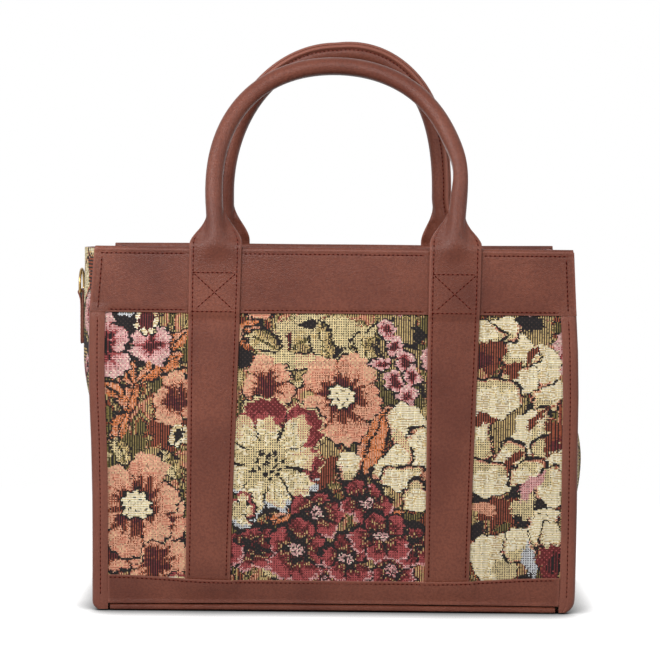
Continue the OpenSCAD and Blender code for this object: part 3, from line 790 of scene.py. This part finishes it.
def sew(name, runs):
    """Rows of stitches along runs of points, each with the way out of the leather, as one piece."""
    points, faces, paints, total = [], [], [], 0
    for run, out in runs:
        run = np.array(run, float)
        out = np.broadcast_to(np.array(out, float), run.shape)
        reach = np.concatenate([[0], np.cumsum(np.linalg.norm(np.diff(run, axis=0), axis=1))])
        count = max(1, round(reach[-1] / STITCH_PITCH))
        ends = np.linspace(0, reach[-1], count + 1)
        spots = np.stack([np.interp(ends, reach, run[:, k]) for k in range(3)], axis=1)
        ways = np.stack([np.interp(ends, reach, out[:, k]) for k in range(3)], axis=1)
        for i in range(count):
            forward = spots[i + 1] - spots[i]
            forward = forward / np.linalg.norm(forward)
            up = ways[i] + ways[i + 1]
            up = up - forward * np.dot(up, forward)
            up = up / np.linalg.norm(up)
            turn = np.stack([forward, np.cross(up, forward), up])
            for paint, spot, shape, shape_faces in (
                (0, (spots[i] + spots[i + 1]) / 2 + up * 0.02, stitch_points, stitch_faces),
                (1, spots[i] + up * 0.10, hole_points, hole_faces),
            ):
                points.append(spot + shape @ turn)
                faces += [[total + k for k in f] for f in shape_faces]
                paints += [paint] * len(shape_faces)
                total += len(shape)
    mesh = bpy.data.meshes.new(name)
    mesh.from_pydata((np.concatenate(points) * MM).tolist(), [], faces)
    mesh.materials.append(thread_paint)
    mesh.materials.append(hole_shade_paint)
    mesh.polygons.foreach_set("material_index", np.array(paints, dtype=np.int32))
    mesh.polygons.foreach_set("use_smooth", np.ones(len(faces), dtype=bool))
    mesh.update()
    piece = bpy.data.objects.new(name, mesh)
    bpy.context.scene.collection.objects.link(piece)
    return piece


CORNER_R = {-1: 6.0, 1: 9.0}
BINDING_X, BINDING_W = 154.1, 10.3
binding_path = (
    [(BINDING_X, 63.1), (162.8, 63.1)]
    + rounded_corner((162.6, 61.25), 1.85, 80, -80)
    + [(162.4, 59.4), (159.6, 59.4)]
)
for depth_side, depth_name in ((-1, "front"), (1, "back")):
    for side, side_name in ((-1, "left"), (1, "right")):

        def lay_binding(across, along):
            z = 0.7 + along * 207.5
            r = CORNER_R[side]
            low = np.clip((r - z) / r, 0, 1)
            outer = 164.4 - r * (1 - np.sqrt(1 - low ** 2))
            path_x, path_y = bent_path(binding_path, across)
            x = np.minimum(path_x, BINDING_X + (path_x - BINDING_X) * (outer - BINDING_X) / BINDING_W)
            puff = 0.75 * np.sin(np.pi * np.clip((path_x - BINDING_X) / BINDING_W, 0, 1))
            puff = (puff - 0.35 * np.exp(-(((path_x - SEAM_X) / 0.8) ** 2))) * (path_y > 61)
            under = 0.5 * smooth((z - 203) / 3) * (path_y > 61)
            x = x + edge_bow(side, z) + 0.25 * wave(z, 0, 1.3 * side + depth_side)
            return side * x, depth_side * (path_y + puff - under), z

        # The bindings are paler all over: a painted highlight on their rounded faces.
        binding = cut_sheet(f"{depth_name}_{side_name}_binding_leather", 26, 104, lay_binding, paler_by=0.3)
        make_thick(binding, 1.1)
        finish_leather(binding, f"{depth_name}_{side_name}_binding")


# Leather bands along the top and the bottom
# A broad band covers the top edge outside; a facing folds over the edge behind it and goes
# down inside. A narrow band along the bottom covers the lower ends of the straps.
STRAP_X = 81.5
BAND_Y, BAND_Z, BAND_TOP = 63.1, 205.0, 248.3
LOWER_ROW, UPPER_ROW = BAND_Z + 2.0, BAND_TOP - 3.0
facing_path = (
    [(62.35, 244.0), (62.35, 248.0)]
    + rounded_corner((60.9, 248.0), 1.45, 0, 180)
    + [(59.4, 248.0), (59.4, 212.2)]
)


def strap_middle(side, z):
    """Where the middle of the left or right strap lies at a height."""
    lean = np.clip((250 - np.asarray(z, float)) / 226, 0, 1)
    return side * STRAP_X - (4.4 if side < 0 else 3.2) * lean


def over_straps(x, z):
    """1 over the straps, 0 beside them."""
    return sum(smooth((22 - np.abs(x - strap_middle(side, z))) / 5) for side in (-1, 1))


def row_of(x, y, z):
    """Points in a row, of which some coordinates may be the same all along."""
    return np.stack(np.broadcast_arrays(x, y, z), axis=1)


for depth_side, depth_name in ((-1, "front"), (1, "back")):

    def lay_band(across, along):
        x, z = (across - 0.5) * 329.4, BAND_Z + along * (BAND_TOP - BAND_Z)
        over = 0.7 * smooth((np.abs(x) - 150) / 5) * smooth((212 - z) / 6)
        y = BAND_Y + over + 0.18 * wave(x, z, 6.0 + depth_side) + 0.25 * np.sin(np.pi * along)
        for row in (LOWER_ROW, UPPER_ROW):
            y = y - 0.16 * np.exp(-((z - row) / 0.9) ** 2)
        x = bowed(x, z, 120, 42)
        return x, depth_side * y, z + 0.3 * wave(x, 0, 2.0 + depth_side)

    band = cut_sheet(f"{depth_name}_top_band_leather", 164, 44, lay_band)
    make_thick(band, LEATHER_T)
    finish_leather(band, f"{depth_name}_top_band")

    def lay_facing(across, along):
        y, z = bent_path(facing_path, along)
        half = np.where(y > 59.41, 164.3, 164.3 - 7.8 * smooth((248.2 - z) / 1.2))
        x = bowed((across - 0.5) * 2 * half, z, 120, 42)
        return x, depth_side * y, z + 0.3 * wave(x, 0, 2.0 + depth_side) * (z > 230)

    facing = cut_sheet(f"{depth_name}_facing_leather", 110, 60, lay_facing)
    make_thick(facing, LEATHER_T)
    finish_leather(facing)

    def lay_bottom_band(across, along):
        x = (across - 0.5) * 308
        low = 5.0 + 0.6 * (1 - (x / 154) ** 2)
        z = low + along * (21.4 - low + 3.4 * smooth((np.abs(x) - 70) / 84))
        y = BAND_Y + over_straps(x, z) * (0.5 + 1.1 * smooth((z - 6) / 14))
        y = y + 0.12 * wave(x, z, 8.0 + depth_side) + 0.9 * along + 0.5 * smooth((8.5 - z) / 3)
        x = bowed(x, z, 110, 40)
        return x, depth_side * y, z + 0.2 * wave(x, 0, 3.0 + depth_side)

    bottom_band = cut_sheet(f"{depth_name}_bottom_band_leather", 154, 20, lay_bottom_band)
    make_thick(bottom_band, LEATHER_T)
    finish_leather(bottom_band, f"{depth_name}_bottom_band")

    runs = []
    out = (0, depth_side, 0)
    for low, high in ((-158.5, -102), (-61, 61), (102, 158.5)):
        xs = np.linspace(low, high, 40)
        for z in (UPPER_ROW, LOWER_ROW):
            runs.append((row_of(xs, depth_side * 63.72, z), out))
    for side in (-1, 1):
        for low, high in ((BAND_Z + 4, BAND_TOP - 4.5), (12, 202)):
            zs = np.linspace(low, high, 60)
            runs.append((row_of(side * (SEAM_X + edge_bow(side, zs)), depth_side * 64.05, zs), out))
    xs = np.linspace(-152.5, 152.5, 200)
    zs = 19.6 + 3.4 * smooth((np.abs(xs) - 70) / 84) + 0.2 * wave(xs, 0, 3.0 + depth_side)
    runs.append((row_of(xs, depth_side * (64.5 + over_straps(xs, 22) * 1.5), zs), out))
    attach(sew(f"{depth_name}_stitches", runs), "bag")


# Straps and handles
# Each side has one long leather strip of two layers: flat and sewn down as a strap on the
# left, rolled round a cord and sewn as the handle, and flat again as the strap on the right.
STRAP_T, TUBE_R, HINGE_DEPTH = 2.4, 6.0, 66.1
SHOULDER_START, SHOULDER, INNER_SHOULDER = 2.0, 22.0, 29.0
ROLL_LOW, ROLL_HIGH = -20.0, 13.0
plain_angles = np.sort(np.concatenate([np.arange(5.0, 360.0, 10.0), [2, 358, 178, 182]]))
flange_half = np.array([0.7, 2, 3.5, 5, 8, 12, 16, 18.5, 20, 22])
flange_steps = np.concatenate([-flange_half[::-1], flange_half])

for (
    depth_side, name, hinge_z, leg, arch, lean, seam_turn, seam_h, swell, pinch, bow, square, nip,
) in (
    (-1, "front", 251.162, 42.0, 91.0, 20.0, 80.0, 2.2, -1.5, 0.0, 2.2, 0.90, 0.2),
    (1, "back", 250.756, 37.0, 103.0, 6.0, 140.0, 3.0, 6.0, 4.2, 0.0, 1.0, 0.0),
):
    # The strip's middle line: up the left strap, over the arch and down the right strap.
    table_v = np.linspace(-260, 190, 9001)
    table_lean = math.radians(lean) * smooth((table_v + 4) / 8)
    step = table_v[1] - table_v[0]
    table_y = np.cumsum(np.sin(table_lean)) * step
    table_z = np.cumsum(np.cos(table_lean)) * step
    table_z = table_z - np.interp(-20, table_v, table_z) + hinge_z - 20

    def stand(x, v, w):
        """Place of a point at v along the strip's length and w behind its front face."""
        tilt = np.interp(v, table_v, table_lean)
        y = -HINGE_DEPTH + np.interp(v, table_v, table_y) + w * np.cos(tilt)
        z = np.interp(v, table_v, table_z) - w * np.sin(tilt)
        y = y + 1.2 * (1 - smooth((z - 200.5) / 5))
        return np.stack([x, -depth_side * y, z], axis=-1)

    low_v = 9.0 - hinge_z
    strap_v = np.concatenate([np.arange(low_v, -56, 3.0), np.arange(-56, -6, 1.5), np.arange(-6, leg, 1.0)])
    turn = np.linspace(0, math.pi, 90)
    arch_x = -STRAP_X * np.sign(np.cos(turn)) * np.abs(np.cos(turn)) ** square
    arch_x = arch_x * (1 + bow / STRAP_X) - pinch * smooth((turn - 2.3) / 0.84)
    arch_v = leg + arch * np.clip(np.sin(turn), 0, 1) ** square + swell * np.clip(-np.sin(2 * turn), 0, 1)
    rising = smooth((strap_v - 4) / (leg - 4))
    left_x = strap_middle(-1, hinge_z + strap_v) - bow * rising
    right_x = strap_middle(1, hinge_z + strap_v) + (bow - pinch) * rising
    mid_x = np.concatenate([left_x, arch_x, right_x[::-1]])
    mid_v = np.concatenate([strap_v, arch_v, strap_v[::-1]])
    way = np.stack([np.gradient(mid_x), np.gradient(mid_v)], axis=1)
    way[: len(strap_v)] = (0, 1)
    way[-len(strap_v):] = (0, -1)
    way = way / np.linalg.norm(way, axis=1, keepdims=True)
    far = np.concatenate([strap_v, np.full(len(turn), leg), strap_v[::-1]])

    def half_width(v, shoulder):
        """Half the strip's width at v along its length, and how flat it still is there."""
        flat = 1 - smooth((v - SHOULDER_START) / (shoulder - SHOULDER_START))
        full = 15.4 + 2.3 * smooth((hinge_z + v - 20) / 225)
        return TUBE_R + (full - TUBE_R) * flat, flat

    def flap_fall(v, half, share):
        """How far a shoulder falls back at a share of its half width, out to its edges."""
        return 2.0 * share ** 2 * smooth((half - TUBE_R) / 5) * smooth((v + 1) / 8)

    # The section round the middle line: a flat sheet that rolls up into a tube with a sewn flange.
    degrees = plain_angles[np.abs(plain_angles - seam_turn) > 23]
    degrees = np.sort(np.concatenate([degrees, seam_turn + flange_steps]))
    cosine, sine = np.cos(np.radians(degrees)), np.sin(np.radians(degrees))
    outer, flat = half_width(far, SHOULDER)
    inner = half_width(far, INNER_SHOULDER)[0]
    waist = 1 - nip * np.exp(-(((mid_v - 58) / 17) ** 2)) * (mid_x > 0)
    far, flat, waist, seat_x, seat_v = (values[:, None] for values in (far, flat, waist, mid_x, mid_v))
    half = waist * np.where(cosine > 0, inner[:, None], outer[:, None])
    level = half * cosine
    thin = 0.62 + 0.38 * smooth((hinge_z + far - 18) / 14)
    from_edge = np.clip((np.abs(level) - (half - 1.3)) / 1.3, 0, 1)
    sheet_h = 0.5 * STRAP_T * thin * np.sqrt(1 - np.minimum(from_edge, 0.995) ** 2)
    sheet_h = sheet_h * smooth((half - TUBE_R) / 3)
    roll = smooth((far - ROLL_LOW) / (ROLL_HIGH - ROLL_LOW)) ** 1.15
    low = 1 - smooth((far + 14) / (SHOULDER + 12))
    spread = TUBE_R + 5.0 * low
    tube_h = roll * TUBE_R * np.clip(1 - (level / spread) ** 2, 0, None) ** (0.5 + 0.7 * low)
    tube_h = tube_h * np.where(sine > 0, smooth((far - 1) / 9), 1)
    groove = 0.22 * np.exp(-((np.abs(level) - half + 2.8) / 0.7) ** 2) * smooth(2 * flat) * (roll < 0.9)
    fillet = 1.3 * smooth((far + 16) / 14) * smooth((half - np.abs(level)) / 4) * smooth((half - TUBE_R) / 3)
    fillet = fillet * (1 - smooth((np.abs(level) - spread) / 3))
    thick = 0.5 * (sheet_h - groove + tube_h + np.sqrt((sheet_h - groove - tube_h) ** 2 + fillet ** 2))
    thick = np.maximum(thick, 0.02)
    apart = np.abs(degrees - seam_turn)
    flange = smooth((20.5 - apart) / 2.5) * (1 - 0.75 * np.exp(-((apart / 2.2) ** 2)))
    out = seam_h * smooth((far - 17) / 9) * flange
    side = level + out * cosine - 10 * (1 - waist)
    behind = 0.5 * STRAP_T * (2 - thin) + np.sign(sine) * thick + out * sine
    behind = behind + flap_fall(far, half, level / half)
    rings = stand(seat_x + side * way[:, 1:2], seat_v - side * way[:, 0:1], behind)

    count, around = level.shape
    faces = [tuple(range(around)), tuple(range((count - 1) * around, count * around))]
    for k in range(around):
        n = (k + 1) % around
        for r in range(0, (count - 1) * around, around):
            faces.append((r + k, r + n, r + around + n, r + around + k))
    mesh = bpy.data.meshes.new(f"{name}_handle_leather")
    mesh.from_pydata((rings.reshape(-1, 3) * MM).tolist(), [], faces)
    worn = np.where(flat > 0.3, 0.75 * smooth((from_edge - 0.25) / 0.5), 0)
    worn = worn + 0.7 * smooth((out - 0.8 * seam_h) / 0.4)
    mark = mesh.attributes.new("rim", "FLOAT", "POINT")
    mark.data.foreach_set("value", np.clip(worn, 0, 1).astype(np.float32).ravel())
    handle = bpy.data.objects.new(mesh.name, mesh)
    bpy.context.scene.collection.objects.link(handle)
    bpy.ops.object.select_all(action="DESELECT")
    bpy.context.view_layer.objects.active = handle
    handle.select_set(True)
    even_out(50)
    handle.data.materials.append(leather)
    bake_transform(handle)
    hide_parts(f"{name}_left_strap", f"{name}_right_strap", f"{name}_handle")

    # The stitches: along both edges, a crossed box on the top band, and the seam of the tube.
    runs = []
    ahead = (0, depth_side, 0)
    for strap_side in (-1, 1):
        edge_v = np.arange(25.5 - hinge_z, 12.5, 1.0)
        for edge_side in (-1, 1):
            reach = half_width(edge_v, SHOULDER if edge_side == strap_side else INNER_SHOULDER)[0]
            inset = reach - 2.8
            back = 0.15 + flap_fall(edge_v, reach, inset / reach)
            xs = strap_middle(strap_side, hinge_z + edge_v) + edge_side * inset
            runs.append((stand(xs, edge_v, back), ahead))
        for z in (206.0, 232.5):
            xs = strap_middle(strap_side, z) + np.linspace(-14.4, 14.4, 12)
            runs.append((stand(xs, np.full(12, z - hinge_z), 0.0), ahead))
        for edge_side in (-1, 1):
            share = np.linspace(0, 1, 20)
            z = 231.0 - share * 23.5
            xs = strap_middle(strap_side, z) + edge_side * (13.2 - 26.0 * share)
            runs.append((stand(xs, z - hinge_z, 0.0), ahead))
    chosen = np.flatnonzero(far[:, 0] >= SHOULDER)
    angle = math.radians(seam_turn - 27 if seam_turn > 90 else seam_turn + 27)
    side = (TUBE_R + 0.02) * math.cos(angle)
    behind = 0.5 * STRAP_T + (TUBE_R + 0.02) * math.sin(angle)
    x, v, way_x, way_v = mid_x[chosen], mid_v[chosen], way[chosen, 0], way[chosen, 1]
    seam_run = stand(x + side * way_v, v - side * way_x, behind)
    outward = stand(x + 2 * side * way_v, v - 2 * side * way_x, behind + TUBE_R * math.sin(angle)) - seam_run
    runs.append((seam_run, outward / np.linalg.norm(outward, axis=1, keepdims=True)))
    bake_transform(sew(f"{name}_handle_stitches", runs))


# Ring tabs and D-rings
# A short leather tab on each side is folded round the bar of a brass D-ring and sewn to the
# cloth below it; the ring swings up in the fold.
brass, tree, shader, place = new_material("pale_brass")
paler_by = noise(tree, place, 260.0, 4.0)
tone = tones(tree, paler_by, linear(132, 104, 62), linear(186, 158, 108))
gloss = ranged(tree, paler_by, 0.0, 1.0, 0.18, 0.36)
fill(tree, shader, {"Base Color": tone, "Roughness": gloss, "Metallic": 1.0})
for name in ("left_ring", "right_ring"):
    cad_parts[name].data.materials[0] = brass
    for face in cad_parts[name].data.polygons:
        face.use_smooth = True

RING_Z, TAB_HALF, TAB_LOW = 216.0, 7.5, 179.0
for side, name, wall, bar in ((-1, "left_ring_tab", 178.4, 180.6), (1, "right_ring_tab", 163.4, 165.6)):
    inner = wall + 0.6
    tab_path = (
        [(inner, TAB_LOW + 0.4), (inner, 213.0)]
        + rounded_corner((bar, RING_Z), 1.7, 200, -50, 14)
        + [(inner + 1.5, 210.5), (inner + 1.25, 206.0), (inner + 1.2, TAB_LOW)]
    )

    def lay_tab(across, along):
        x, z = bent_path(tab_path, along)
        end = np.clip((TAB_LOW + 3 - z) / 3, 0, 1)
        y = (across - 0.5) * 2 * (TAB_HALF - 3 * (1 - np.sqrt(1 - 0.98 * end ** 2)))
        return side * x, y, z

    tab = cut_sheet(f"{name}_leather", 12, 72, lay_tab)
    make_thick(tab, 1.1)
    finish_leather(tab, name)
    loop = ((-5.2, 206.5), (-5.2, 183), (-3.5, 181.3), (3.5, 181.3), (5.2, 183), (5.2, 206.5), (-5.2, 206.5))
    run = [(side * (wall + 2.45), y, z) for y, z in loop]
    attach(sew(f"{name}_stitches", [(run, (side, 0, 0))]), "bag")


# Magnetic snap
# The two discs of a brass snap are set into the facings, in the middle of the opening.
for name in ("snap_socket", "snap_stud"):
    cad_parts[name].data.materials[0] = brass
